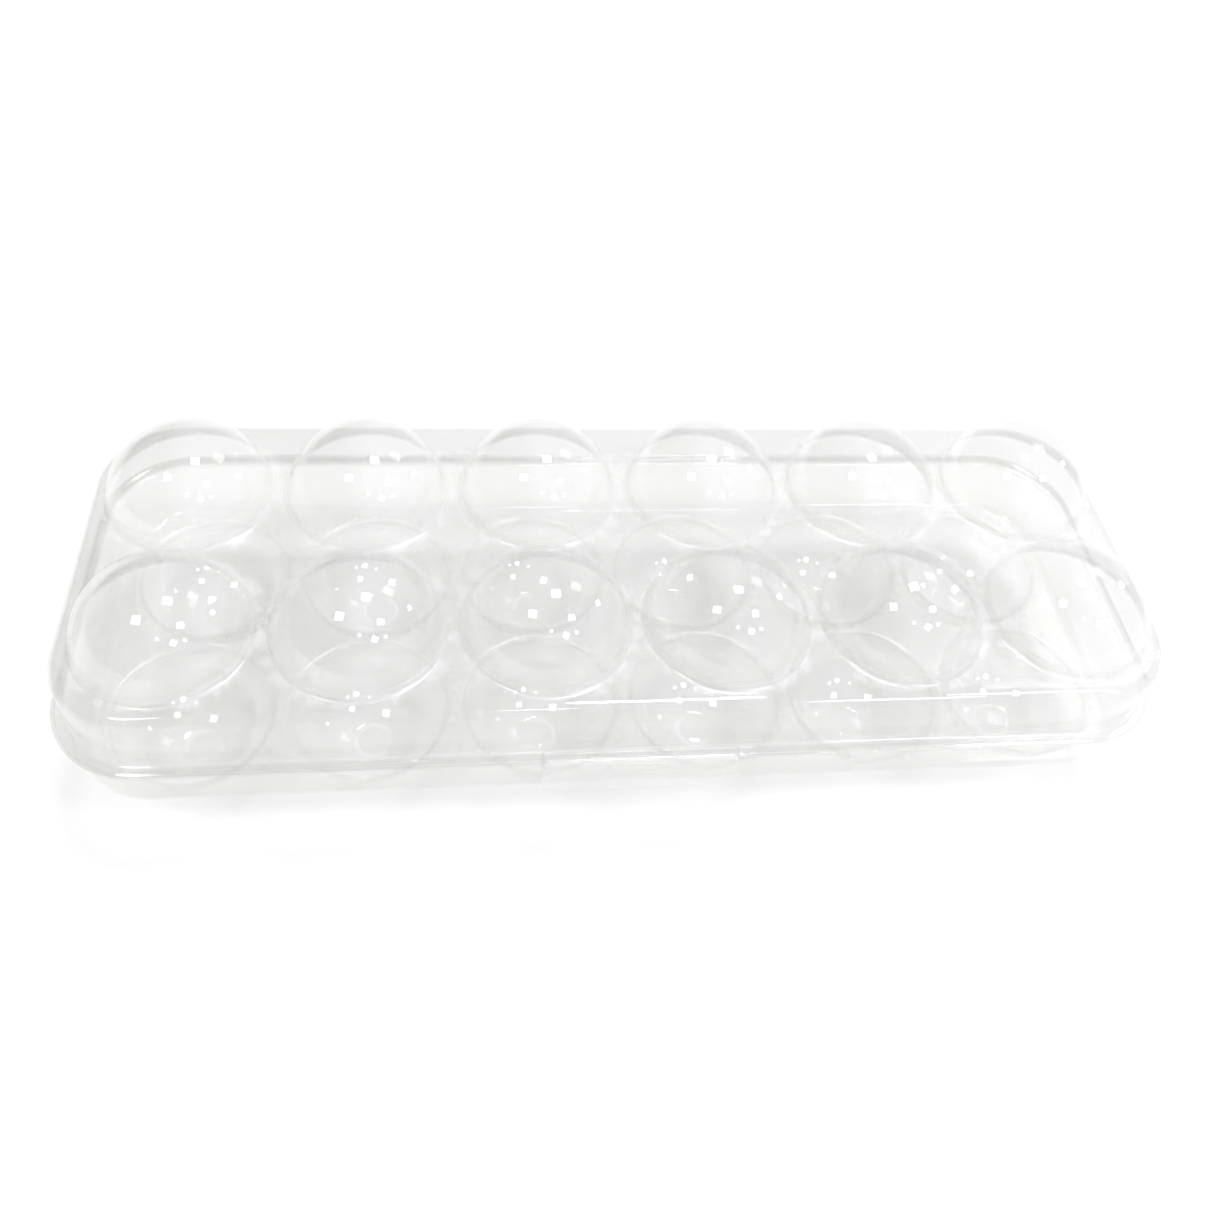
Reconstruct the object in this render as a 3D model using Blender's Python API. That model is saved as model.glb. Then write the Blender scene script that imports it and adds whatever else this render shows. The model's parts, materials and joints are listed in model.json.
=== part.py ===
"""A clear plastic egg carton with two rows of six cells, lid closed.

The base and the lid are thin formed shells that nearly mirror each other about the plane where
their flanges meet. Each shell is modelled as its regions: a rim wall, a flange, and for each cell
a round bowl and the tile of flat plate around it. The lid turns on a living hinge along the rear
flange, and a latch tab bends about a crease on the lid's front flange.

Metres, +Z up. +X runs along the rows, -Y is the front with the latch tab, and the origin is in the
middle of the plane that the cups' feet stand on.
"""

import math

import bmesh
import bpy

# The cells
CELLS_PER_ROW = 6
PITCH_X = 0.048
PITCH_Y = 0.0475
BOWL_RADIUS = 0.0223  # the outside of every cup and dome
BOWL_CENTRE_INSET = 0.00245  # from the plate's outer face, towards the inside of the carton
FOOT_RADIUS = 0.006  # the flat at the bottom of each cup
CROWN_RADIUS = 0.002  # the flat at the top of each dome, as small as its facets allow
TILE_HOLE_RADIUS = 0.0214

# The sheet, and the gap kept between regions and pieces that touch
SHEET = 0.0006
GAP = 0.0003
CUTTER_OVERRUN = 0.0024  # how far a cutter reaches past the sheet that it trims

# Heights
FLOOR_TO_DECK = 0.0384
FLOOR_Z = math.sqrt(BOWL_RADIUS**2 - FOOT_RADIUS**2) - BOWL_CENTRE_INSET
DECK_Z = FLOOR_Z + FLOOR_TO_DECK
TOP_Z = DECK_Z - BOWL_CENTRE_INSET + BOWL_RADIUS
SEAM_Z = TOP_Z / 2  # the plane where the flanges meet, so that the open lid lies on its domes

# Rim outlines, each (half length, half width, corner radius)
LID_TOP = (0.1466, 0.0508, 0.0224)
LID_FOOT = (0.1472, 0.0512, 0.0226)
BASE_TOP = (0.1472, 0.0518, 0.0226)
BASE_FOOT = (0.1466, 0.0513, 0.0210)
FLANGE = (0.1498, 0.0546, 0.0242)
RIM_ROUNDING = 0.0038  # between a wall and its plate

# The living hinge
HINGE_BEAD_RADIUS = 0.0007
HINGE_BEAD_SIDES = 8
HINGE_HALF_LENGTH = 0.118
HINGE_Y = FLANGE[1] + GAP + HINGE_BEAD_RADIUS

# The latch tab: a lip over the lid's flange, and a skirt that hangs in front of both flanges. The
# skirt stands out in front as far as the hinge's bead does behind.
TAB_HALF_WIDTH = 0.026
TAB_LEFT_RADIUS = 0.003  # at the skirt's lower corners
TAB_RIGHT_RADIUS = 0.010
TAB_CREASE_Y = -0.0520
TAB_CREASE_Z = SEAM_Z + GAP / 2 + SHEET + GAP
TAB_SKIRT_Y = SHEET - HINGE_Y - HINGE_BEAD_RADIUS * math.cos(math.pi / HINGE_BEAD_SIDES)  # inner face
TAB_BOTTOM_Z = SEAM_Z - 0.0116
SNAP_HALF_WIDTH = 0.0088
SNAP_Y = -FLANGE[1] - GAP
SNAP_TOP_Z = SEAM_Z - GAP / 2 - SHEET - GAP
SNAP_HEIGHT = 0.0026

# How finely round shapes are divided
BOWL_STEPS = 16
BOWL_RINGS = 3
CORNER_STEPS = 4
ROUNDING_STEPS = 3

CLEAR_PLASTIC = (0.90, 0.93, 0.90, 1.0)
PLASTIC_ROUGHNESS = 0.08
PLASTIC_ALPHA = 0.35


def clear_scene():
    for obj in list(bpy.data.objects):
        bpy.data.objects.remove(obj, do_unlink=True)


def clear_plastic(name):
    material = bpy.data.materials.new(name)
    material.use_nodes = True
    shader = material.node_tree.nodes["Principled BSDF"]
    shader.inputs["Base Color"].default_value = CLEAR_PLASTIC
    shader.inputs["Roughness"].default_value = PLASTIC_ROUGHNESS
    shader.inputs["Metallic"].default_value = 0.0
    shader.inputs["IOR"].default_value = 1.5
    shader.inputs["Alpha"].default_value = PLASTIC_ALPHA
    return material


def add_object(name, bm, location=(0, 0, 0), parent=None):
    """Turns the mesh into an object whose origin is at location, in the carton's frame."""
    bmesh.ops.recalc_face_normals(bm, faces=bm.faces)
    mesh = bpy.data.meshes.new(name)
    bm.to_mesh(mesh)
    bm.free()
    mesh.shade_smooth()
    mesh.set_sharp_from_angle(angle=math.radians(35))
    obj = bpy.data.objects.new(name, mesh)
    obj.data.materials.append(clear_plastic(name + "_plastic"))
    bpy.context.scene.collection.objects.link(obj)
    obj.parent = parent
    obj.location = location
    return obj


def add_axis(name, place, parent=None):
    """An empty on a joint's axis at place, in the carton's frame. The moving pieces hang from it."""
    empty = bpy.data.objects.new(name, None)
    empty.empty_display_size = 0.01
    bpy.context.scene.collection.objects.link(empty)
    empty.parent = parent
    empty.location = location_under(parent, place)
    return empty


def rounded_rectangle(rim, inset=0.0):
    """The points round a rim outline moved inwards by inset, as (x, y), anticlockwise."""
    half_x, half_y, radius = (size - inset for size in rim)
    points = []
    for quarter, (side_x, side_y) in enumerate(((1, 1), (-1, 1), (-1, -1), (1, -1))):
        for step in range(CORNER_STEPS + 1):
            angle = math.radians(90 * (quarter + step / CORNER_STEPS))
            x = side_x * (half_x - radius) + radius * math.cos(angle)
            y = side_y * (half_y - radius) + radius * math.sin(angle)
            points.append((x, y))
    return points


def bridge(bm, first, second):
    """Quads between two closed loops of as many vertices."""
    count = len(first)
    for i in range(count):
        j = (i + 1) % count
        bm.faces.new((first[i], first[j], second[j], second[i]))


def swept_rim(name, section, origin, parent=None):
    """A closed section of (rim, inset, z) points, carried round the carton."""
    bm = bmesh.new()
    loops = []
    for rim, inset, z in section:
        outline = rounded_rectangle(rim, inset)
        loops.append([bm.verts.new((x - origin[0], y - origin[1], z - origin[2])) for x, y in outline])
    for first, second in zip(loops, loops[1:] + loops[:1]):
        bridge(bm, first, second)
    return add_object(name, bm, location_under(parent, origin), parent)


def location_under(parent, place):
    if parent is None:
        return place
    return tuple(p - q for p, q in zip(place, parent.location))


def rounding(rim, radius, inset, z_centre, outward):
    """The quarter turn from a wall to its plate, as section points. outward is 1 for up, -1 for down."""
    points = []
    for step in range(ROUNDING_STEPS + 1):
        angle = math.radians(90 * step / ROUNDING_STEPS)
        points.append((
            rim,
            inset + radius * (1 - math.cos(angle)),
            z_centre + outward * radius * math.sin(angle),
        ))
    return points


def wall_section(seam_z, seam_rim, plate_z, plate_rim, outward):
    """A rim wall of one sheet, from the seam to the plate, with its rounding."""
    centre_z = plate_z - outward * RIM_ROUNDING
    outer = rounding(plate_rim, RIM_ROUNDING, 0.0, centre_z, outward)
    inner = rounding(plate_rim, RIM_ROUNDING - SHEET, SHEET, centre_z, outward)
    return [(seam_rim, 0.0, seam_z)] + outer + inner[::-1] + [(seam_rim, SHEET, seam_z)]


def flange_section(low_z, wall_rim):
    """A flat flange of one sheet, from just outside the wall to the flange outline."""
    high_z = low_z + SHEET
    return [
        (wall_rim, -GAP, low_z),
        (FLANGE, 0.0, low_z),
        (FLANGE, 0.0, high_z),
        (wall_rim, -GAP, high_z),
    ]


def cell_centres():
    """Each cell as (row name, number from the left, x, y)."""
    for row, y in (("front", -PITCH_Y / 2), ("rear", PITCH_Y / 2)):
        for index in range(CELLS_PER_ROW):
            yield row, index + 1, (index - (CELLS_PER_ROW - 1) / 2) * PITCH_X, y


def circle(bm, radius, z, centre=(0, 0)):
    return [
        bm.verts.new((
            centre[0] + radius * math.cos(2 * math.pi * step / BOWL_STEPS),
            centre[1] + radius * math.sin(2 * math.pi * step / BOWL_STEPS),
            z,
        ))
        for step in range(BOWL_STEPS)
    ]


def as_cutter(obj):
    obj.hide_render = True
    obj.display_type = "WIRE"
    return obj


def prism(bm, outline, low_z, high_z):
    """An upright prism on an (x, y) outline."""
    loops = [[bm.verts.new((x, y, z)) for x, y in outline] for z in (low_z, high_z)]
    bridge(bm, *loops)
    for loop in loops:
        bm.faces.new(loop)


def cell_holes(name, low_z):
    """One hidden object of twelve round prisms, which cut the cells' holes through a plate."""
    bm = bmesh.new()
    for _, _, x, y in cell_centres():
        heights = (low_z - CUTTER_OVERRUN, low_z + SHEET + CUTTER_OVERRUN)
        ends = [circle(bm, TILE_HOLE_RADIUS, z, (x, y)) for z in heights]
        bridge(bm, *ends)
        for end in ends:
            bm.faces.new(end)
    return as_cutter(add_object(name, bm))


def plate_outline(name, rim, low_z):
    """A hidden prism that trims the outer tiles to the edge of the plate."""
    bm = bmesh.new()
    outline = rounded_rectangle(rim, RIM_ROUNDING + GAP)
    prism(bm, outline, low_z - CUTTER_OVERRUN, low_z + SHEET + CUTTER_OVERRUN)
    return as_cutter(add_object(name, bm))


def plate_tiles(prefix, rim, low_z, origin=(0, 0, 0), parent=None):
    """A flat plate of one sheet inside a rim, as one tile for each cell with the cell's hole in it."""
    outline = plate_outline(prefix + "_outline", rim, low_z)
    holes = cell_holes(prefix + "_holes", low_z)
    reach_x = PITCH_X / 2 - GAP / 2
    reach_y = PITCH_Y / 2 - GAP / 2
    for row, number, x, y in cell_centres():
        bm = bmesh.new()
        corners = [
            (x - origin[0] + side_x * reach_x, y - origin[1] + side_y * reach_y)
            for side_x, side_y in ((1, 1), (-1, 1), (-1, -1), (1, -1))
        ]
        prism(bm, corners, low_z - origin[2], low_z + SHEET - origin[2])
        tile = add_object(f"{prefix}_{row}_{number}", bm, location_under(parent, origin), parent)
        for operation, tool in (("INTERSECT", outline), ("DIFFERENCE", holes)):
            trim = tile.modifiers.new(operation.lower(), "BOOLEAN")
            trim.operation = operation
            trim.solver = "EXACT"
            trim.object = tool


def bowl_arc(radius, flat_radius):
    """(r, depth below the sphere's centre) from the rim plane to the edge of the flat."""
    rim_depth = BOWL_CENTRE_INSET + GAP
    start = math.asin(rim_depth / radius)
    end = math.acos(flat_radius / radius)
    angles = [start + (end - start) * step / BOWL_RINGS for step in range(BOWL_RINGS + 1)]
    points = [(radius * math.cos(angle), radius * math.sin(angle)) for angle in angles]
    return [(points[0][0], rim_depth)] + points[1:]


def bowl(name, centre, flat_radius, outward, parent=None):
    """A round bowl of one sheet. outward is -1 for a cup and 1 for a dome."""
    bm = bmesh.new()
    skins = []
    poles = []
    for radius in (BOWL_RADIUS, BOWL_RADIUS - SHEET):
        arc = bowl_arc(radius, flat_radius)
        skins.append([circle(bm, r, outward * depth) for r, depth in arc])
        poles.append(bm.verts.new((0, 0, outward * arc[-1][1])))
    for rings, pole in zip(skins, poles):
        for first, second in zip(rings, rings[1:]):
            bridge(bm, first, second)
        last = rings[-1]
        for i, vertex in enumerate(last):
            bm.faces.new((vertex, last[(i + 1) % BOWL_STEPS], pole))
    bridge(bm, skins[0][0], skins[1][0])
    return add_object(name, bm, location_under(parent, centre), parent)


def hinge_bead(name):
    """The folded web of the living hinge, as a slim bead along the hinge's axis."""
    bm = bmesh.new()
    ends = []
    for x in (-HINGE_HALF_LENGTH, HINGE_HALF_LENGTH):
        turns = [2 * math.pi * (side + 0.5) / HINGE_BEAD_SIDES for side in range(HINGE_BEAD_SIDES)]
        ends.append([
            bm.verts.new((x, HINGE_BEAD_RADIUS * math.cos(turn), HINGE_BEAD_RADIUS * math.sin(turn)))
            for turn in turns
        ])
    bridge(bm, *ends)
    for end in ends:
        bm.faces.new(end)
    return add_object(name, bm, (0, HINGE_Y, SEAM_Z))


def tab_skirt_outline(top, bottom):
    """The front view of the skirt, as (x, z): square at the top, rounded at its lower corners."""
    points = [(-TAB_HALF_WIDTH, top), (TAB_HALF_WIDTH, top)]
    for side, radius, start in ((1, TAB_RIGHT_RADIUS, 0), (-1, TAB_LEFT_RADIUS, -90)):
        for step in range(CORNER_STEPS + 1):
            angle = math.radians(start - 90 * step / CORNER_STEPS)
            x = side * (TAB_HALF_WIDTH - radius) + radius * math.cos(angle)
            points.append((x, bottom + radius + radius * math.sin(angle)))
    return points


def slab(bm, corners, near_y, far_y):
    """An upright slab with an (x, z) outline, between two y planes."""
    loops = [[bm.verts.new((x, y, z)) for x, z in corners] for y in (near_y, far_y)]
    bridge(bm, *loops)
    for loop in loops:
        bm.faces.new(loop)


def join_into(target, other):
    """A Boolean union of two solids that overlap. The second becomes a hidden helper."""
    union = target.modifiers.new("join_" + other.name, "BOOLEAN")
    union.operation = "UNION"
    union.solver = "EXACT"
    union.object = as_cutter(other)


def latch_tab(name, parent):
    """The skirt, its lip over the lid's flange, and a snap bead just below the base's flange."""
    axis_y = TAB_CREASE_Y
    axis_z = TAB_CREASE_Z
    skirt_in = TAB_SKIRT_Y - axis_y
    skirt_out = skirt_in - SHEET

    skirt = bmesh.new()
    slab(skirt, tab_skirt_outline(SHEET, TAB_BOTTOM_Z - axis_z), skirt_in, skirt_out)
    tab = add_object(name, skirt, parent=parent)

    lip = bmesh.new()
    square = [
        (-TAB_HALF_WIDTH, 0),
        (TAB_HALF_WIDTH, 0),
        (TAB_HALF_WIDTH, SHEET),
        (-TAB_HALF_WIDTH, SHEET),
    ]
    slab(lip, square, 0, (skirt_in + skirt_out) / 2)
    join_into(tab, add_object(name + "_lip", lip, parent=parent))

    snap = bmesh.new()
    top = SNAP_TOP_Z - axis_z
    box = [
        (-SNAP_HALF_WIDTH, top - SNAP_HEIGHT),
        (SNAP_HALF_WIDTH, top - SNAP_HEIGHT),
        (SNAP_HALF_WIDTH, top),
        (-SNAP_HALF_WIDTH, top),
    ]
    slab(snap, box, SNAP_Y - axis_y, (skirt_in + skirt_out) / 2)
    join_into(tab, add_object(name + "_snap", snap, parent=parent))
    return tab


def build_base():
    origin = (0, 0, 0)
    plate_tiles("floor", BASE_FOOT, FLOOR_Z)
    seam = SEAM_Z - GAP / 2
    swept_rim("base_wall", wall_section(seam, BASE_TOP, FLOOR_Z, BASE_FOOT, -1), origin)
    swept_rim("base_flange", flange_section(seam - SHEET, BASE_TOP), origin)
    for row, number, x, y in cell_centres():
        centre = (x, y, FLOOR_Z + BOWL_CENTRE_INSET)
        bowl(f"cup_{row}_{number}", centre, FOOT_RADIUS, -1)
    hinge_bead("living_hinge")


def build_lid():
    axis = add_axis("lid_hinge_axis", (0, HINGE_Y, SEAM_Z))
    origin = tuple(axis.location)
    plate_tiles("deck", LID_TOP, DECK_Z - SHEET, origin, axis)
    seam = SEAM_Z + GAP / 2
    swept_rim("lid_wall", wall_section(seam, LID_FOOT, DECK_Z, LID_TOP, 1), origin, axis)
    swept_rim("lid_flange", flange_section(seam, LID_FOOT), origin, axis)
    for row, number, x, y in cell_centres():
        centre = (x, y, DECK_Z - BOWL_CENTRE_INSET)
        bowl(f"dome_{row}_{number}", centre, CROWN_RADIUS, 1, axis)
    crease = add_axis("tab_crease_axis", (0, TAB_CREASE_Y, TAB_CREASE_Z), axis)
    latch_tab("latch_tab", crease)


clear_scene()
build_base()
build_lid()
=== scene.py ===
"""The looks of a clear plastic egg carton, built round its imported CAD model.

The lid and the base are each one continuous thin sheet, as if formed in one piece: a plate filled
between the twelve bowls' rings and the rim, the bowls themselves, a rounded rim wall and a flange
with a stiffening bead. The latch tab and the living hinge are thin sheets of their own that bend
across their joints. Metres, +Z up, in the CAD model's frame.
"""

import json
import math

import bmesh
import bpy
import numpy as np
from mathutils import Matrix, Vector, noise
from mathutils.geometry import delaunay_2d_cdt


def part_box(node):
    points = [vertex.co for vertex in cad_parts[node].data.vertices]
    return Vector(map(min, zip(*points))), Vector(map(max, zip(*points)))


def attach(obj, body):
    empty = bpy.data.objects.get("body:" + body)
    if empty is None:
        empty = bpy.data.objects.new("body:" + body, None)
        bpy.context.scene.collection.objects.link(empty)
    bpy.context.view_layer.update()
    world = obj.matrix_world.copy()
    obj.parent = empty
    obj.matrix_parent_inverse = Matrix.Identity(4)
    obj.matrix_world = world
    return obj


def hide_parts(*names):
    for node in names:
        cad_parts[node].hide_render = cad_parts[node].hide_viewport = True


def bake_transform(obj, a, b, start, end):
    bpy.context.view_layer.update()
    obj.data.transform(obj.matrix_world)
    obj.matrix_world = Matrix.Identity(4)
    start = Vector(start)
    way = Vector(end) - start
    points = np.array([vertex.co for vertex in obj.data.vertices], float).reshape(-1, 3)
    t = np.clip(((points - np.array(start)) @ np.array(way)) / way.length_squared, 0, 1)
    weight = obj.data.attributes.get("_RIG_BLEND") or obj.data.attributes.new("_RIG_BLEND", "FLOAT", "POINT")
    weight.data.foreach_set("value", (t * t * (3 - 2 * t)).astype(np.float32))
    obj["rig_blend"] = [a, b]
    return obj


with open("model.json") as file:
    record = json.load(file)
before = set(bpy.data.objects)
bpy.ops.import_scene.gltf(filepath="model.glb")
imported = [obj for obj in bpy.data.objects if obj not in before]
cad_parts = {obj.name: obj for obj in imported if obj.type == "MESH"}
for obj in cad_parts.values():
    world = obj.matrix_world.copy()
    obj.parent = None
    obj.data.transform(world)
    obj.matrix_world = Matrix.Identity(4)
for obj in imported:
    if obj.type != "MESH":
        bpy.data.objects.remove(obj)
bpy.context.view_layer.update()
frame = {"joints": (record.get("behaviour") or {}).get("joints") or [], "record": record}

# Places taken from the frame
JOINT_PLACES = {joint["name"]: Vector(joint["pos_m"]) for joint in frame["joints"]}
HINGE = JOINT_PLACES["lid_hinge"]
CREASE = JOINT_PLACES["latch_flex"]
SEAM_Z = HINGE.z
DECK_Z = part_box("deck_front_1")[1].z
FLOOR_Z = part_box("floor_front_1")[0].z
CELLS = [
    (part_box(f"cup_{row}_{number}")[0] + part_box(f"cup_{row}_{number}")[1]).xy / 2
    for row in ("front", "rear")
    for number in range(1, 7)
]
TAB_LOW, TAB_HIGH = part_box("latch_tab")
HINGE_HALF_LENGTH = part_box("living_hinge")[1].x

# The sheet
SHEET = 0.00055
SEAM_GAP = 0.0003  # between the two flanges

# The bowls: domes in the lid, cups in the base
BOWL_RADIUS = 0.0223
BOWL_CENTRE_INSET = 0.00245  # from the plate's outer face, towards the inside
RING_FILLET = 0.0011  # where a bowl meets its plate
FOOT_ROUNDING = 0.003  # between a cup's side and its flat foot
FOOT_RECESS = 0.00025
BOWL_STEPS = 72
BOWL_RINGS = 17
FILLET_STEPS = 6

# The rims, each (half length, half width, corner radius)
RIM_ROUNDING = 0.0032
ROOT_FILLET = 0.0009
CORNER_STEPS = 16
LONG_SIDE_STEPS = 44
SHORT_SIDE_STEPS = 12


def half_sizes(node):
    low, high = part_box(node)
    return (high.x - low.x) / 2, (high.y - low.y) / 2


FLANGE = (*half_sizes("lid_flange"), 0.0242)
LID_FOOT = (*half_sizes("lid_wall"), 0.0226)
LID_TOP = (LID_FOOT[0] - 0.0006, LID_FOOT[1] - 0.0004, 0.0224)
BASE_TOP = (*half_sizes("base_wall"), 0.0226)
BASE_FOOT = (BASE_TOP[0] - 0.0006, BASE_TOP[1] - 0.0005, 0.0210)

# How a sheet is finished
WELD = 0.00001
EDGE_CROWN = 0.22  # how far a cut edge bulges, as a share of the thickness
SHARP_ANGLE = math.radians(58)
WAVE_HEIGHT = 0.00007  # how far the sheet wanders from its true shape
WAVE_LENGTH = 0.017
FINE_WAVE_HEIGHT, FINE_WAVE_RATE = 0.4, 2.7  # beside the main waves

# Painted shade: how much the sheet darkens what is seen through it, from none (0) to the whole of its shade
# tint (1); it stands in for darker surroundings seen through the clear sheet
PLATE_SHADE = 0.82
BOWL_SHADE = 0.52
WALL_SHADE = 0.74
# a painted dark band just under the rim's rounding
UNDER_EDGE_SHADE = 0.8


class Sheet:
    """The outer face of a formed sheet, gathered patch by patch and welded where patches meet.

    Each point keeps how sharply the sheet bends there (0 to 1), which also places painted light lines, how
    far it was drawn out when it was formed (0 on a plate, 1 at the tip of a bowl) and how much painted shade
    darkens what is seen through it (0 to 1)."""

    def __init__(self):
        self.points = []
        self.bends = []
        self.draws = []
        self.shades = []
        self.faces = []

    def add(self, points, bend=0.0, draw=0.0, shade=PLATE_SHADE):
        first = len(self.points)
        self.points.extend(points)
        self.bends.extend([bend] * len(points))
        self.draws.extend([draw] * len(points))
        self.shades.extend([shade] * len(points))
        return list(range(first, len(self.points)))

    def bridge(self, first, second):
        """Quads between two closed loops of as many points."""
        count = len(first)
        for i in range(count):
            j = (i + 1) % count
            self.faces.append((first[i], first[j], second[j], second[i]))

    def sweep(self, loops):
        for first, second in zip(loops, loops[1:]):
            self.bridge(first, second)

    def solid(self, name, thickness, up):
        """A closed object: the welded sheet, a second skin one thickness behind it, and an eased
        edge. up says which way the first face looks. What the points keep becomes attributes."""
        bm = bmesh.new()
        kept = {"bend": self.bends, "draw": self.draws, "shade": self.shades}
        for attribute in kept:
            bm.verts.layers.float.new(attribute)
        verts = [bm.verts.new(point) for point in self.points]
        for attribute, values in kept.items():
            layer = bm.verts.layers.float[attribute]
            for vert, value in zip(verts, values):
                vert[layer] = value
        for face in self.faces:
            bm.faces.new([verts[i] for i in face])
        bmesh.ops.remove_doubles(bm, verts=bm.verts, dist=WELD)
        bmesh.ops.recalc_face_normals(bm, faces=bm.faces)
        bm.faces.ensure_lookup_table()
        if (bm.faces[0].normal.z > 0) != up:
            bmesh.ops.reverse_faces(bm, faces=bm.faces)
        bm.normal_update()
        waver(bm)
        thicken(bm, thickness)
        mesh = bpy.data.meshes.new(name)
        bm.to_mesh(mesh)
        bm.free()
        mesh.shade_smooth()
        mesh.set_sharp_from_angle(angle=SHARP_ANGLE)
        obj = bpy.data.objects.new(name, mesh)
        bpy.context.scene.collection.objects.link(obj)
        return obj


def waver(bm):
    """Lets the sheet wander a little from its true shape, as thin formed plastic does."""
    for vert in bm.verts:
        place = vert.co / WAVE_LENGTH
        drift = noise.noise(place) + FINE_WAVE_HEIGHT * noise.noise(place * FINE_WAVE_RATE)
        vert.co += vert.normal * WAVE_HEIGHT * drift
    bm.normal_update()


def thicken(bm, thickness):
    """Adds the second skin behind an open sheet, and joins the two round their open edges."""
    layers = list(bm.verts.layers.float.values())
    skin = list(bm.faces)
    rim = [edge for edge in bm.edges if edge.is_boundary]
    outwards = {}
    for edge in rim:
        for vert in edge.verts:
            outward = outwards.get(vert, Vector()) - edge.calc_tangent(edge.link_loops[0])
            outwards[vert] = outward

    def copy(vert, place):
        made = bm.verts.new(place)
        for layer in layers:
            made[layer] = vert[layer]
        return made

    sheet = list(bm.verts)
    behind = {vert: copy(vert, vert.co - vert.normal * thickness) for vert in sheet}
    middle = {
        vert: copy(
            vert,
            vert.co - vert.normal * thickness / 2 + outward.normalized() * thickness * EDGE_CROWN,
        )
        for vert, outward in outwards.items()
    }
    turned = [[loop.vert for loop in edge.link_loops[0].face.loops] for edge in rim]
    for face in skin:
        bm.faces.new([behind[vert] for vert in reversed(face.verts)])
    for edge, corners in zip(rim, turned):
        first, second = edge.verts
        if corners[(corners.index(first) + 1) % len(corners)] != second:
            first, second = second, first
        bm.faces.new((second, first, middle[first], middle[second]))
        bm.faces.new((middle[second], middle[first], behind[first], behind[second]))
    bm.normal_update()


def rim_outline(rim, inset=0.0):
    """The points round a rim outline moved inwards by inset, as (x, y), anticlockwise."""
    half_x, half_y, radius = (size - inset for size in rim)
    corners = []
    for quarter, (side_x, side_y) in enumerate(((1, 1), (-1, 1), (-1, -1), (1, -1))):
        centre = Vector((side_x * (half_x - radius), side_y * (half_y - radius)))
        corners.append([
            centre + radius * turn_vector(90 * (quarter + step / CORNER_STEPS))
            for step in range(CORNER_STEPS + 1)
        ])
    points = []
    for quarter, corner in enumerate(corners):
        following = corners[(quarter + 1) % 4][0]
        steps = LONG_SIDE_STEPS if quarter % 2 == 0 else SHORT_SIDE_STEPS
        points += corner
        points += [corner[-1].lerp(following, step / steps) for step in range(1, steps)]
    return points


def turn_vector(degrees):
    return Vector((math.cos(math.radians(degrees)), math.sin(math.radians(degrees))))


def hump(t):
    """0 at both ends of 0 to 1, and 1 in the middle, with a smooth start and end."""
    return math.sin(math.pi * min(max(t, 0.0), 1.0)) ** 2


def smooth_step(t):
    t = min(max(t, 0.0), 1.0)
    return t * t * (3 - 2 * t)


# Filling flat regions

TRIANGLES_INSIDE = 1  # the triangulation's choice of what it gives back
TOUCHING = 1e-7


def distances_to(loop, points):
    """Each point's distance from a closed loop of (x, y), as an array."""
    starts = np.array(loop)
    ends = np.roll(starts, -1, axis=0)
    sides = ends - starts
    nearest = np.full(len(points), np.inf)
    for start, side in zip(starts, sides):
        along = np.clip(((points - start) @ side) / (side @ side), 0, 1)
        offsets = points - start - along[:, None] * side
        nearest = np.minimum(nearest, np.linalg.norm(offsets, axis=1))
    return nearest


def inside(loop, points):
    """Whether each point lies inside a closed loop, as an array."""
    crossings = np.zeros(len(points), int)
    count = len(loop)
    for i in range(count):
        (x0, y0), (x1, y1) = loop[i], loop[(i + 1) % count]
        if y0 == y1:
            continue
        spans = (points[:, 1] > min(y0, y1)) & (points[:, 1] <= max(y0, y1))
        x = x0 + (points[:, 1] - y0) * (x1 - x0) / (y1 - y0)
        crossings += spans & (x > points[:, 0])
    return crossings % 2 == 1


def filled(outline, holes, spacing, clearance):
    """(points, triangles) of an even mesh inside outline and outside each hole's loop."""
    outline = [tuple(p) for p in outline]
    holes = [[tuple(p) for p in hole] for hole in holes]
    lows, highs = np.min(outline, axis=0), np.max(outline, axis=0)
    row_gap = spacing * math.sqrt(3) / 2
    grid = []
    for row in range(int((highs[1] - lows[1]) / row_gap) + 1):
        shift = spacing / 2 * (row % 2)
        for column in range(int((highs[0] - lows[0]) / spacing) + 1):
            grid.append((lows[0] + shift + column * spacing, lows[1] + row * row_gap))
    grid = np.array(grid)
    kept = inside(outline, grid) & (distances_to(outline, grid) > clearance)
    for hole in holes:
        kept &= ~inside(hole, grid) & (distances_to(hole, grid) > clearance)
    points, edges = [], []
    for loop in [outline, *holes]:
        first = len(points)
        points += loop
        edges += [(first + i, first + (i + 1) % len(loop)) for i in range(len(loop))]
    points += [tuple(p) for p in grid[kept]]
    places = [Vector(p) for p in points]
    found = delaunay_2d_cdt(places, edges, [], TRIANGLES_INSIDE, TOUCHING)
    corners = np.array([tuple(p) for p in found[0]])
    faces = np.array([tuple(face) for face in found[2]])
    middles = corners[faces].mean(axis=1)
    open_to = np.zeros(len(faces), bool)
    for hole in holes:
        open_to |= inside(hole, middles)
    return [tuple(p) for p in corners], [tuple(face) for face in faces[~open_to]]


# The lid and the base

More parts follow.
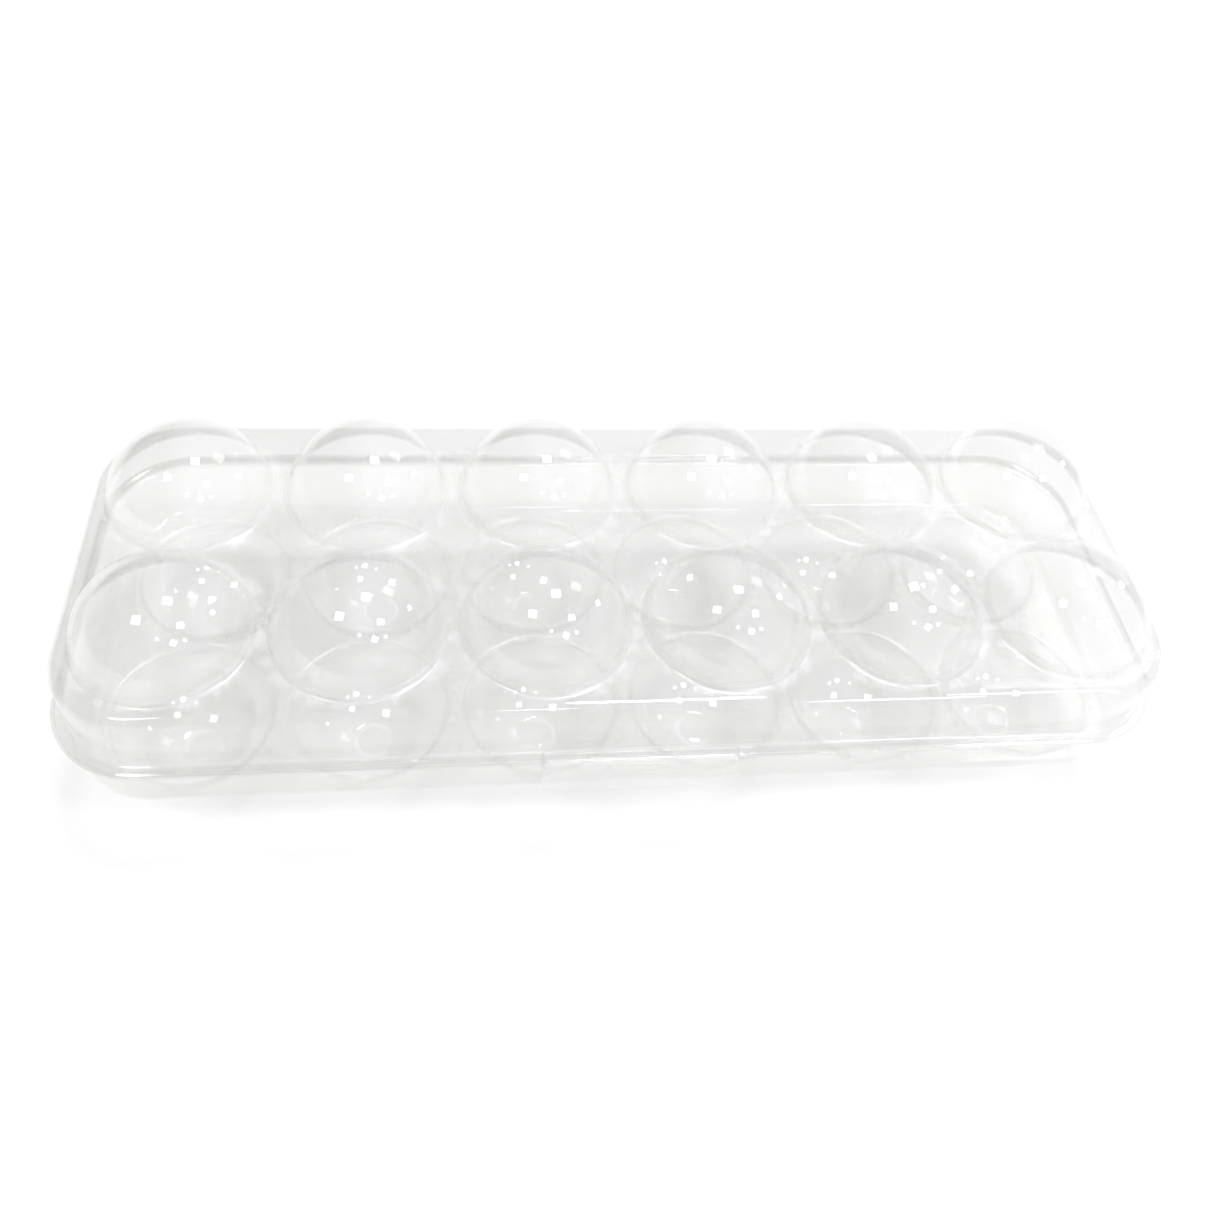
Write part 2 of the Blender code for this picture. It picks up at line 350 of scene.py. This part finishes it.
PLATE_SPACING = 0.0034
PLATE_CLEARANCE = 0.0009
RING_RADIUS = math.sqrt(
    (BOWL_RADIUS + RING_FILLET) ** 2 - (BOWL_CENTRE_INSET + RING_FILLET) ** 2
)  # where a ring's fillet leaves the plate
RING_LEAST_BEND, RING_MORE_BEND = 0.1, 0.7  # within the fillet, and added at both its ends, where the haze paints light lines round each ring
BOWL_FOOT_BEND = 0.12  # where the side turns into the foot
FOOT_BEND = 0.05
FOOT_RING_SHARES = (0.85, 0.68, 0.5, 0.25)  # of the flat foot's radius
FOOT_RECESS_RAMP = 0.35
BOWL_SHADE_DRAW = 0.4  # how far drawn out the sheet is where the bowl's own painted shade starts
FLANGE_STEPS = 14
BEAD_HEIGHT = 0.00026
BEAD_MIDDLE, BEAD_WIDTH = 0.6, 0.46  # as shares of the flange's width
RIM_DRAW = 0.3  # how far the wall and flange are drawn out
# The bends below also raise the haze, which paints light lines along them
ROUNDING_BEND = 0.15
ROOT_BEND = 0.6
BEAD_BEND = 0.4
EDGE_BEND = 0.4
EDGE_SHARE = 0.1  # of the flange's width
WALL_STEPS = 6
ROUNDING_STEPS = 8
ROOT_STEPS = 4


def circle(centre, radius):
    return [centre + radius * turn_vector(360 * step / BOWL_STEPS) for step in range(BOWL_STEPS)]


def bowl_profile(foot_depth):
    """(radius, height beyond the plate, bend, draw) from the plate to the bowl's tip.

    foot_depth is how far beyond the plate a flat foot lies, or None for a full round."""
    low = math.asin((BOWL_CENTRE_INSET + RING_FILLET) / (BOWL_RADIUS + RING_FILLET))
    profile = []
    for step in range(FILLET_STEPS + 1):
        share = step / FILLET_STEPS
        angle = -math.pi / 2 - (math.pi / 2 - low) * share
        radius = RING_RADIUS + RING_FILLET * math.cos(angle)
        height = RING_FILLET * (1 + math.sin(angle))
        bend = RING_LEAST_BEND + RING_MORE_BEND * (1 - hump(share)) ** 4
        profile.append((radius, height, bend, 0.0))
    high = math.pi / 2
    if foot_depth is not None:
        side = foot_depth + BOWL_CENTRE_INSET - FOOT_ROUNDING
        high = math.asin(side / (BOWL_RADIUS - FOOT_ROUNDING))
    for step in range(1, BOWL_RINGS + 1):
        share = step / BOWL_RINGS
        angle = low + (high - low) * share
        radius = BOWL_RADIUS * math.cos(angle)
        height = BOWL_RADIUS * math.sin(angle) - BOWL_CENTRE_INSET
        bend = RING_LEAST_BEND * max(0.0, 1 - 3 * share) ** 2
        profile.append((radius, height, bend, math.sin(angle)))
    if foot_depth is None:
        return profile[:-1], profile[-1][1]
    flat_radius = (BOWL_RADIUS - FOOT_ROUNDING) * math.cos(high)
    for step in range(1, FILLET_STEPS + 1):
        share = step / FILLET_STEPS
        angle = high + (math.pi / 2 - high) * share
        radius = flat_radius + FOOT_ROUNDING * math.cos(angle)
        height = foot_depth - FOOT_ROUNDING + FOOT_ROUNDING * math.sin(angle)
        profile.append((radius, height, BOWL_FOOT_BEND, 1.0))
    for share in FOOT_RING_SHARES:
        recess = FOOT_RECESS * smooth_step((FOOT_RING_SHARES[0] - share) / FOOT_RECESS_RAMP)
        profile.append((flat_radius * share, foot_depth - recess, FOOT_BEND, 1.0))
    return profile, foot_depth - FOOT_RECESS


def add_bowl(sheet, centre, plate_z, outward, foot_depth):
    profile, tip = bowl_profile(foot_depth)
    loops = []
    for radius, height, bend, draw in profile:
        z = plate_z + outward * height
        # Painted shade: the plate's, turning into the bowl's as the sheet is drawn out
        shade = PLATE_SHADE + (BOWL_SHADE - PLATE_SHADE) * smooth_step(draw / BOWL_SHADE_DRAW)
        loops.append(sheet.add([(*p, z) for p in circle(centre, radius)], bend, draw, shade))
    sheet.sweep(loops)
    (pole,) = sheet.add([(*centre, plate_z + outward * tip)], 0.0, 1.0, BOWL_SHADE)
    last = loops[-1]
    sheet.faces += [(last[i], last[(i + 1) % BOWL_STEPS], pole) for i in range(BOWL_STEPS)]


def add_rim(sheet, plate_z, plate_rim, seam_rim, flange_z, outward):
    """The rounding, wall, root fillet and flange, from the plate's edge to the flange's."""
    loops = []
    centre_z = plate_z - outward * RIM_ROUNDING
    for step in range(ROUNDING_STEPS + 1):
        share = step / ROUNDING_STEPS
        angle = math.pi / 2 * (1 - share)
        outline = rim_outline(plate_rim, RIM_ROUNDING * (1 - math.cos(angle)))
        z = centre_z + outward * RIM_ROUNDING * math.sin(angle)
        # Painted shade: darker towards a painted dark band under the rounding
        shade = PLATE_SHADE + (UNDER_EDGE_SHADE - PLATE_SHADE) * smooth_step(2 * share - 1)
        bend = ROUNDING_BEND * hump(share)
        loops.append(sheet.add([(*p, z) for p in outline], bend, RIM_DRAW, shade))
    root_z = flange_z + outward * ROOT_FILLET
    top, foot = rim_outline(plate_rim), rim_outline(seam_rim)
    for step in range(1, WALL_STEPS + 1):
        share = step / WALL_STEPS
        z = centre_z + (root_z - centre_z) * share
        outline = [a.lerp(b, share) for a, b in zip(top, foot)]
        # Painted shade: from the dark band under the rounding to the wall's
        shade = UNDER_EDGE_SHADE + (WALL_SHADE - UNDER_EDGE_SHADE) * smooth_step(2 * share)
        loops.append(sheet.add([(*p, z) for p in outline], 0.0, RIM_DRAW, shade))
    for step in range(1, ROOT_STEPS + 1):
        share = step / ROOT_STEPS
        angle = math.pi / 2 * share
        outline = rim_outline(seam_rim, -ROOT_FILLET * (1 - math.cos(angle)))
        z = flange_z + outward * ROOT_FILLET * (1 - math.sin(angle))
        bend = ROOT_BEND * hump(share)
        loops.append(sheet.add([(*p, z) for p in outline], bend, RIM_DRAW, WALL_SHADE))
    near, far = rim_outline(seam_rim, -ROOT_FILLET), rim_outline(FLANGE)
    for step in range(1, FLANGE_STEPS + 1):
        share = step / FLANGE_STEPS
        along = (share - BEAD_MIDDLE) / BEAD_WIDTH + 0.5
        z = flange_z + outward * BEAD_HEIGHT * hump(along)
        outline = [a.lerp(b, share) for a, b in zip(near, far)]
        edge = smooth_step((share - (1 - EDGE_SHARE)) / EDGE_SHARE)
        bend = BEAD_BEND * hump(along) + EDGE_BEND * edge
        loops.append(sheet.add([(*p, z) for p in outline], bend, RIM_DRAW, WALL_SHADE))
    sheet.sweep(loops)


def build_shell(name, plate_z, plate_rim, seam_rim, flange_z, outward, foot_depth):
    """outward is 1 for the lid, whose bowls rise, and -1 for the base, whose bowls hang."""
    sheet = Sheet()
    rings = [circle(centre, RING_RADIUS) for centre in CELLS]
    points, triangles = filled(
        rim_outline(plate_rim, RIM_ROUNDING), rings, PLATE_SPACING, PLATE_CLEARANCE
    )
    sheet.add([(*p, plate_z) for p in points])
    sheet.faces += triangles
    for centre in CELLS:
        add_bowl(sheet, centre, plate_z, outward, foot_depth)
    add_rim(sheet, plate_z, plate_rim, seam_rim, flange_z, outward)
    return sheet.solid(name, SHEET, up=outward > 0)


lid_shell = build_shell(
    "lid_shell", DECK_Z, LID_TOP, LID_FOOT, SEAM_Z + SEAM_GAP / 2 + SHEET, 1, None
)
base_shell = build_shell(
    "base_shell", FLOOR_Z, BASE_FOOT, BASE_TOP, SEAM_Z - SEAM_GAP / 2 - SHEET, -1, FLOOR_Z
)

# The latch tab: a lip from the crease over the lid's flange, and a skirt in front of the flanges

# Painted shade of the latch tab
TAB_SHADE = 0.3
TAB_BEND = 0.0011
TAB_CORNERS = ((1, 0.010, 0), (-1, 0.003, 90))  # each (side, radius, where its turn starts)
TAB_SPACING = 0.0011
TAB_CLEARANCE = 0.00044
TAB_REAR_Y = CREASE.y + 0.0003
TAB_TOP_Z = CREASE.z + SHEET
TAB_LIP = TAB_REAR_Y - (TAB_LOW.y + TAB_BEND)
TAB_ARC = TAB_BEND * math.pi / 2
TAB_SKIRT = TAB_TOP_Z - TAB_BEND - TAB_LOW.z
TAB_HALF_WIDTH = TAB_HIGH.x
SNAP_HALF_WIDTH = 0.0088
SNAP_DEPTH = 0.0006
SNAP_HEIGHT = 0.0026
SNAP_MIDDLE_Z = SEAM_Z - 0.0024
SNAP_RAMP = 0.0008
SNAP_FLAT_HALF_WIDTH = SNAP_HALF_WIDTH - 0.0005
SNAP_FLAT_HALF_HEIGHT = SNAP_HEIGHT / 2 - 0.0006
SNAP_BEND = 0.5
CREASE_WIDTH = 0.0024


def tab_point(x, along):
    """Where a point of the flat tab goes once it is bent: (point, outward normal, bend)."""
    if along < TAB_LIP:
        return Vector((x, TAB_REAR_Y - along, TAB_TOP_Z)), Vector((0, 0, 1)), 0.0
    if along < TAB_LIP + TAB_ARC:
        angle = (along - TAB_LIP) / TAB_BEND
        normal = Vector((0, -math.sin(angle), math.cos(angle)))
        centre = Vector((x, TAB_LOW.y + TAB_BEND, TAB_TOP_Z - TAB_BEND))
        return centre + TAB_BEND * normal, normal, hump((along - TAB_LIP) / TAB_ARC)
    drop = along - TAB_LIP - TAB_ARC
    return Vector((x, TAB_LOW.y, TAB_TOP_Z - TAB_BEND - drop)), Vector((0, -1, 0)), 0.0


def pressed(offset, half_width, ramp):
    """1 inside a band of that half width, falling to 0 over ramp outside it."""
    return smooth_step((half_width - abs(offset)) / ramp + 1)


def build_tab():
    total = TAB_LIP + TAB_ARC + TAB_SKIRT
    outline = [Vector((-TAB_HALF_WIDTH, 0.0)), Vector((TAB_HALF_WIDTH, 0.0))]
    for side, radius, start in TAB_CORNERS:
        centre = Vector((side * (TAB_HALF_WIDTH - radius), total - radius))
        for step in range(CORNER_STEPS + 1):
            outline.append(centre + radius * turn_vector(start + 90 * step / CORNER_STEPS))
    points, triangles = filled(outline, [], TAB_SPACING, TAB_CLEARANCE)
    sheet = Sheet()
    for x, along in points:
        place, normal, bend = tab_point(x, along)
        snap = 0.0
        if along > TAB_LIP + TAB_ARC:
            snap = pressed(x, SNAP_FLAT_HALF_WIDTH, SNAP_RAMP)
            snap *= pressed(place.z - SNAP_MIDDLE_Z, SNAP_FLAT_HALF_HEIGHT, SNAP_RAMP)
        place -= normal * SNAP_DEPTH * snap
        bend += hump(0.5 + along / CREASE_WIDTH) + SNAP_BEND * hump(snap)
        sheet.add([place], min(1.0, bend), RIM_DRAW, TAB_SHADE)
    sheet.faces += triangles
    return sheet.solid("latch_tab_flap", SHEET, up=True)


# The living hinge: a thin web folded between the two flanges' rear edges

WEB_THICKNESS = 0.00024
WEB_ARC_STEPS = 14
WEB_LENGTH_STEPS = 80
WEB_REACH = 0.0009  # how far the web laps under each flange's edge
WEB_ROUNDNESS = 1.25
WEB_LAP_BEND, WEB_EDGE_BEND = 0.2, 0.5


def build_hinge():
    """A strip with a round fold that bulges to the rear."""
    half_gap = SEAM_GAP / 2 + SHEET / 2
    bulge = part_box("living_hinge")[1].y - FLANGE[1]
    edge = FLANGE[1]
    path = [(edge - WEB_REACH, -half_gap, WEB_LAP_BEND), (edge, -half_gap, WEB_EDGE_BEND)]
    for step in range(1, WEB_ARC_STEPS):
        angle = math.pi * (step / WEB_ARC_STEPS - 0.5)
        height = half_gap * math.sin(angle) * WEB_ROUNDNESS
        path.append((edge + bulge * math.cos(angle), height, 1.0))
    path += [(edge, half_gap, WEB_EDGE_BEND), (edge - WEB_REACH, half_gap, WEB_LAP_BEND)]
    sheet = Sheet()
    rows = []
    for y, height, bend in path:
        row = [
            (HINGE_HALF_LENGTH * (2 * step / WEB_LENGTH_STEPS - 1), y, SEAM_Z + height)
            for step in range(WEB_LENGTH_STEPS + 1)
        ]
        rows.append(sheet.add(row, bend, 0.0, 0.0))
    for first, second in zip(rows, rows[1:]):
        for i in range(WEB_LENGTH_STEPS):
            sheet.faces.append((first[i], first[i + 1], second[i + 1], second[i]))
    return sheet.solid("living_hinge_web", WEB_THICKNESS, up=False)


latch_flap = build_tab()
hinge_web = build_hinge()

# Materials

HAZE_COLOUR = (0.92, 0.92, 0.92, 1.0)
CLEAREST = (0.997, 0.997, 0.997, 1.0)
# Colours the see-through light is darkened towards: painted shade, lighter on the base than on the lid, with
# the plastic's own faint tint in the slightly lower blue
SHADE_TINT = (0.930, 0.930, 0.929, 1.0)
BASE_SHADE_TINT = (0.960, 0.960, 0.958, 1.0)
HEAD_ON_MIRRORED = 0.04
EDGE_ON_SHADE = 0.18  # more painted shade where the sheet is seen edge-on
WAVES_SCALE = 55
WAVES_STRENGTH, WAVES_DEPTH = 0.12, 0.0006
SCRATCH_TURN = (0.3, 0.2, 0.6)
SCRATCH_STRETCH = (14, 900, 300)
SCRATCH_FROM, SCRATCH_TO = 0.58, 0.8  # of the noise they're cut from
SCRATCH_ROUGHNESS = 0.12
DRAWN_SMOOTH = 0.3  # how far drawn out the sheet is where its flat roughness ends
DRAWN_HAZE = 0.55  # the share of the haze left where the sheet was drawn thinnest


def node(tree, kind, place, **values):
    made = tree.nodes.new(kind)
    made.location = place
    for name, value in values.items():
        setattr(made, name, value)
    return made


def clear_plastic(name, haze, bend_haze_and_light, shade_tint, roughness, flat_roughness):
    """Clear formed sheet: see-through, with a thin milkiness that grows at bends and paints light lines
    along them, and a gloss.

    haze is the milkiness of plain sheet, and the bend haze what a full bend adds, partly whitening and
    partly painted light lines. flat_roughness is added to the roughness where the sheet wasn't drawn out.

    Light that isn't mirrored at the surface mostly passes straight through. It is dimmed by painted shade,
    which darkens what is seen through the sheet, and more where the sheet is seen edge-on."""
    material = bpy.data.materials.new(name)
    material.use_nodes = True
    tree = material.node_tree
    tree.nodes.clear()
    link = tree.links.new
    output = node(tree, "ShaderNodeOutputMaterial", (900, 0))
    place = node(tree, "ShaderNodeTexCoord", (-1400, 0))
    bend = node(tree, "ShaderNodeAttribute", (-1400, -300), attribute_name="bend")
    draw = node(tree, "ShaderNodeAttribute", (-1400, -500), attribute_name="draw")
    shade = node(tree, "ShaderNodeAttribute", (-1400, -700), attribute_name="shade")

    # Gentle waves from forming, and fine handling scratches in the gloss
    waves = node(tree, "ShaderNodeTexNoise", (-1100, 300))
    waves.inputs["Scale"].default_value = WAVES_SCALE
    waves.inputs["Detail"].default_value = 2
    ripple = node(tree, "ShaderNodeBump", (-600, 300))
    ripple.inputs["Strength"].default_value = WAVES_STRENGTH
    ripple.inputs["Distance"].default_value = WAVES_DEPTH
    stretch = node(tree, "ShaderNodeMapping", (-1100, 600))
    stretch.inputs["Rotation"].default_value = SCRATCH_TURN
    stretch.inputs["Scale"].default_value = SCRATCH_STRETCH
    scratches = node(tree, "ShaderNodeTexNoise", (-900, 600))
    scratches.inputs["Scale"].default_value = 1
    scratches.inputs["Detail"].default_value = 3
    scuffs = node(tree, "ShaderNodeMapRange", (-650, 600))
    scuffs.inputs["From Min"].default_value = SCRATCH_FROM
    scuffs.inputs["From Max"].default_value = SCRATCH_TO
    scuffs.inputs["To Max"].default_value = roughness + SCRATCH_ROUGHNESS
    smooth = node(tree, "ShaderNodeMapRange", (-850, 850))
    smooth.inputs["From Max"].default_value = DRAWN_SMOOTH
    smooth.inputs["To Min"].default_value = roughness + flat_roughness
    smooth.inputs["To Max"].default_value = roughness
    link(place.outputs["Object"], waves.inputs["Vector"])
    link(waves.outputs["Fac"], ripple.inputs["Height"])
    link(draw.outputs["Fac"], smooth.inputs["Value"])
    link(smooth.outputs["Result"], scuffs.inputs["To Min"])
    link(place.outputs["Object"], stretch.inputs["Vector"])
    link(stretch.outputs["Vector"], scratches.inputs["Vector"])
    link(scratches.outputs["Fac"], scuffs.inputs["Value"])

    # Painted shade: how much the sheet dims what is seen through it
    facing = node(tree, "ShaderNodeLayerWeight", (-1100, -100))
    facing.inputs["Blend"].default_value = 0.5
    edge_on = node(tree, "ShaderNodeMath", (-850, -100), operation="POWER")
    edge_on.inputs[1].default_value = 3.0
    dimming = node(tree, "ShaderNodeMath", (-600, -150), operation="MULTIPLY_ADD", use_clamp=True)
    dimming.inputs[1].default_value = EDGE_ON_SHADE
    link(facing.outputs["Facing"], edge_on.inputs[0])
    link(edge_on.outputs[0], dimming.inputs[0])
    link(shade.outputs["Fac"], dimming.inputs[2])
    # Painted shade: the see-through colour, from the clearest towards the shade tint
    painted_shade_mix = node(tree, "ShaderNodeMix", (-350, -150), data_type="RGBA")
    painted_shade_mix.inputs["A"].default_value = CLEAREST
    painted_shade_mix.inputs["B"].default_value = shade_tint
    link(dimming.outputs[0], painted_shade_mix.inputs["Factor"])
    through = node(tree, "ShaderNodeBsdfTransparent", (-100, -150))
    link(painted_shade_mix.outputs["Result"], through.inputs["Color"])

    # The milkiness: least where the sheet was drawn thin, most at the bends, where it also paints light
    # lines
    drawn = node(tree, "ShaderNodeMapRange", (-850, -500))
    drawn.inputs["To Min"].default_value = haze
    drawn.inputs["To Max"].default_value = haze * DRAWN_HAZE
    milk_and_light_lines = node(tree, "ShaderNodeMath", (-600, -500), operation="MULTIPLY_ADD", use_clamp=True)
    milk_and_light_lines.inputs[1].default_value = bend_haze_and_light
    link(draw.outputs["Fac"], drawn.inputs["Value"])
    link(bend.outputs["Fac"], milk_and_light_lines.inputs[0])
    link(drawn.outputs["Result"], milk_and_light_lines.inputs[2])
    plastic = node(tree, "ShaderNodeBsdfPrincipled", (-100, -400))
    plastic.inputs["Base Color"].default_value = HAZE_COLOUR
    plastic.inputs["Specular IOR Level"].default_value = 0.2
    link(scuffs.outputs["Result"], plastic.inputs["Roughness"])
    link(ripple.outputs["Normal"], plastic.inputs["Normal"])
    body = node(tree, "ShaderNodeMixShader", (250, -200))
    link(milk_and_light_lines.outputs[0], body.inputs[0])
    link(through.outputs[0], body.inputs[1])
    link(plastic.outputs[0], body.inputs[2])

    # The gloss: a smooth plastic face's share of mirrored light, the same from either side
    slant = node(tree, "ShaderNodeLayerWeight", (-300, 250))
    slant.inputs["Blend"].default_value = 0.5
    steep = node(tree, "ShaderNodeMath", (-50, 250), operation="POWER")
    steep.inputs[1].default_value = 5.0
    mirror = node(tree, "ShaderNodeMath", (200, 250), operation="MULTIPLY_ADD", use_clamp=True)
    mirror.inputs[1].default_value = 1 - HEAD_ON_MIRRORED
    mirror.inputs[2].default_value = HEAD_ON_MIRRORED
    link(ripple.outputs["Normal"], slant.inputs["Normal"])
    link(slant.outputs["Facing"], steep.inputs[0])
    link(steep.outputs[0], mirror.inputs[0])
    gloss = node(tree, "ShaderNodeBsdfGlossy", (250, 0))
    gloss.inputs["Color"].default_value = (1, 1, 1, 1)
    link(scuffs.outputs["Result"], gloss.inputs["Roughness"])
    link(ripple.outputs["Normal"], gloss.inputs["Normal"])
    whole = node(tree, "ShaderNodeMixShader", (600, 0))
    link(mirror.outputs[0], whole.inputs[0])
    link(body.outputs[0], whole.inputs[1])
    link(gloss.outputs[0], whole.inputs[2])
    link(whole.outputs[0], output.inputs["Surface"])
    return material


MATERIALS = {
    lid_shell: clear_plastic("lid_clear_sheet", 0.020, 0.20, SHADE_TINT, 0.025, 0.20),
    base_shell: clear_plastic("base_clear_sheet", 0.015, 0.10, BASE_SHADE_TINT, 0.030, 0.22),
    latch_flap: clear_plastic("latch_clear_sheet", 0.030, 0.06, SHADE_TINT, 0.36, 0.0),
    hinge_web: clear_plastic("hinge_whitened_sheet", 0.03, 0.04, SHADE_TINT, 0.20, 0.0),
}
for piece, material in MATERIALS.items():
    piece.data.materials.clear()
    piece.data.materials.append(material)

# What each piece rides on and stands for

BODIES = frame["record"]["behaviour"]["bodies"]
BASE_NODES = [name for name in BODIES["base"] if name != "living_hinge"]

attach(lid_shell, "lid")
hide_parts(*BODIES["lid"])
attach(base_shell, "base")
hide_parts(*BASE_NODES)
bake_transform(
    latch_flap,
    "lid",
    "latch_tab",
    start=(0, CREASE.y + 0.0005, CREASE.z),
    end=(0, CREASE.y - 0.0005, CREASE.z),
)
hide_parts("latch_tab")
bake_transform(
    hinge_web,
    "base",
    "lid",
    start=(0, HINGE.y, SEAM_Z - SHEET / 2),
    end=(0, HINGE.y, SEAM_Z + SHEET / 2),
)
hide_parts("living_hinge")

# The stage: a plain pale floor, soft lamps and a pale surround

FLOOR_SIZE = 3.2
FLOOR_COLOUR = (0.86, 0.86, 0.86, 1)


def build_floor():
    mesh = bpy.data.meshes.new("studio_floor")
    half = FLOOR_SIZE / 2
    corners = [(-half, -half, 0), (half, -half, 0), (half, half, 0), (-half, half, 0)]
    mesh.from_pydata(corners, [], [(0, 1, 2, 3)])
    obj = bpy.data.objects.new("studio_floor", mesh)
    bpy.context.scene.collection.objects.link(obj)
    material = bpy.data.materials.new("pale_floor")
    material.use_nodes = True
    shader = material.node_tree.nodes["Principled BSDF"]
    shader.inputs["Base Color"].default_value = FLOOR_COLOUR
    shader.inputs["Roughness"].default_value = 0.9
    shader.inputs["Specular IOR Level"].default_value = 0.0
    mesh.materials.append(material)


LAMP_DISTANCE = 3.2
LAMP_RADIANCE = 12.0
LAMP_TURN = math.radians(45)
# Each (azimuth from +X, elevation and width as seen from the carton, in degrees, and brightness)
LAMPS = {
    "lamp_left": (211, 64, 9.5, 1.7),
    "lamp_top": (49, 75, 10.0, 2.2),
    "lamp_rear_right": (39, 46, 12.0, 0.2),
    "lamp_right": (-32, 55, 7.5, 2.0),
    "lamp_front_right": (-60, 41, 7.0, 1.8),
    "lamp_far_right": (16, 24, 5.0, 1.3),
    "lamp_front": (-85, 51, 4.0, 1.0),
    "lamp_low_right": (-43, 37, 4.0, 1.0),
}


def add_lamp(name, azimuth, elevation, width, brightness):
    """A square soft lamp in that direction from the carton, facing it with one corner up."""
    light = bpy.data.lights.new(name, "AREA")
    light.shape = "SQUARE"
    light.size = 2 * LAMP_DISTANCE * math.tan(math.radians(width) / 2)
    light.energy = math.pi * LAMP_RADIANCE * brightness * light.size**2
    obj = bpy.data.objects.new(name, light)
    bpy.context.scene.collection.objects.link(obj)
    level = math.cos(math.radians(elevation))
    towards = Vector((*level * turn_vector(azimuth), math.sin(math.radians(elevation))))
    facing = towards.to_track_quat("Z", "Y").to_matrix() @ Matrix.Rotation(LAMP_TURN, 3, "Z")
    obj.matrix_world = Matrix.Translation(towards * LAMP_DISTANCE) @ facing.to_4x4()
    obj.visible_camera = False


DIM_SIDE = (0.38, 0.38, 0.36, 1.0)  # the surround to the left
BRIGHT_SIDE = (0.98, 0.975, 0.99, 1.0)  # and to the right
DIM_FROM, BRIGHT_FROM = -0.45, 0.12  # how far left or right each starts


def build_world():
    """A pale surround that brightens evenly from the left to the right."""
    world = bpy.data.worlds.new("studio_surround")
    world.use_nodes = True
    tree = world.node_tree
    background = tree.nodes["Background"]
    background.inputs["Strength"].default_value = 1.0
    place = node(tree, "ShaderNodeTexCoord", (-900, 0))
    split = node(tree, "ShaderNodeSeparateXYZ", (-700, 0))
    across = node(tree, "ShaderNodeMapRange", (-500, 0), interpolation_type="SMOOTHSTEP")
    across.inputs["From Min"].default_value = DIM_FROM
    across.inputs["From Max"].default_value = BRIGHT_FROM
    shade = node(tree, "ShaderNodeMix", (-250, 0), data_type="RGBA")
    shade.inputs["A"].default_value = DIM_SIDE
    shade.inputs["B"].default_value = BRIGHT_SIDE
    tree.links.new(place.outputs["Generated"], split.inputs["Vector"])
    tree.links.new(split.outputs["X"], across.inputs["Value"])
    tree.links.new(across.outputs["Result"], shade.inputs["Factor"])
    tree.links.new(shade.outputs["Result"], background.inputs["Color"])
    bpy.context.scene.world = world


build_floor()
for lamp_name, lamp in LAMPS.items():
    add_lamp(lamp_name, *lamp)
build_world()

# The camera, from the front left and above

CAMERA_AZIMUTH = math.radians(-11.41)
CAMERA_ELEVATION = math.radians(49.50)
CAMERA_ROLL = math.radians(8.10)
CAMERA_DISTANCE = 0.3090
CAMERA_TARGET = Vector((-0.0056, 0.0042, DECK_Z))
CAMERA_LENS = 32.83
SENSOR = 36.0
CAMERA_SHIFT_Y = -0.055


def build_camera():
    data = bpy.data.cameras.new("camera")
    data.sensor_width = SENSOR
    data.lens = CAMERA_LENS
    data.shift_y = CAMERA_SHIFT_Y
    data.clip_start = 0.01
    data.clip_end = 50
    camera = bpy.data.objects.new("camera", data)
    bpy.context.scene.collection.objects.link(camera)
    level = math.cos(CAMERA_ELEVATION)
    back = Vector((
        math.sin(CAMERA_AZIMUTH) * level,
        -math.cos(CAMERA_AZIMUTH) * level,
        math.sin(CAMERA_ELEVATION),
    ))
    right = Vector((0, 0, 1)).cross(back).normalized()
    up = back.cross(right)
    turned_right = right * math.cos(CAMERA_ROLL) + up * math.sin(CAMERA_ROLL)
    turned_up = back.cross(turned_right)
    turn = Matrix((turned_right, turned_up, back)).transposed()
    camera.matrix_world = Matrix.Translation(CAMERA_TARGET + back * CAMERA_DISTANCE) @ turn.to_4x4()
    bpy.context.scene.camera = camera


build_camera()

# Light passes through many layers of clear sheet
scene = bpy.context.scene
scene.view_settings.view_transform = "Standard"
scene.cycles.transparent_max_bounces = 48
scene.cycles.max_bounces = 6
scene.cycles.glossy_bounces = 4
scene.cycles.diffuse_bounces = 3
